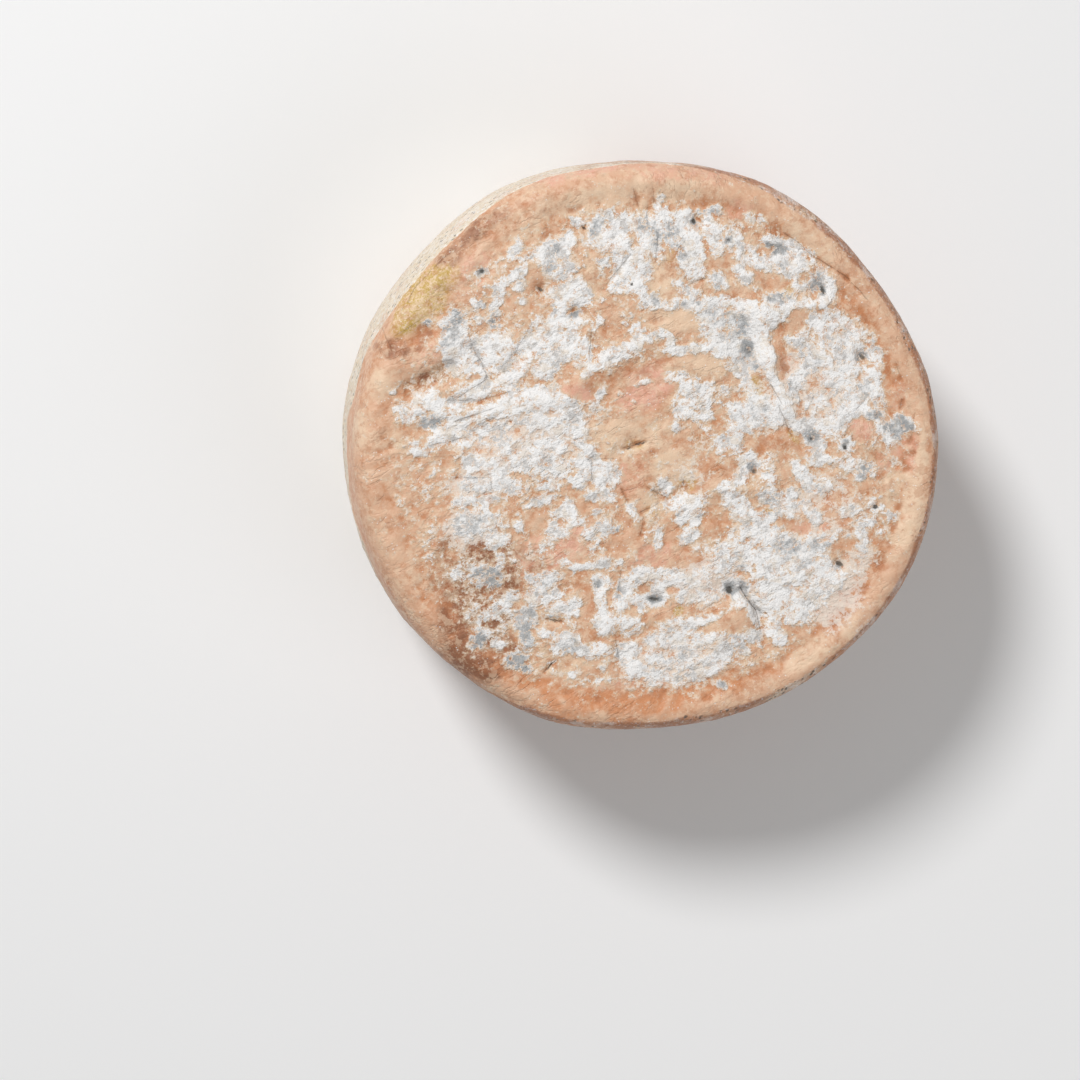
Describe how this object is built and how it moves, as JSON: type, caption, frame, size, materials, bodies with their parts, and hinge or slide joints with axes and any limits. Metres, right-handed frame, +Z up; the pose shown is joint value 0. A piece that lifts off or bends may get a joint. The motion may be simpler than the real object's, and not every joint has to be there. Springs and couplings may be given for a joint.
{
  "type": "cheese wheel",
  "caption": "Thick round wheel of soft blue cheese with a salmon rind, a raised rim and white and grey mould on its upper face, lying flat.",
  "frame": {"origin": "middle of the flat underside, on the surface that the wheel lies on", "axes": "+Z up along the wheel's own axis, +X along the face's longer width, +Y along its shorter width"},
  "size_m": [0.3, 0.2888, 0.1401],
  "materials": {
    "rind": "matte, slightly damp washed rind with dry white and grey mould"
  },
  "bodies": {
    "root": {"cheese_wheel": "rind"}
  },
  "joints": []
}
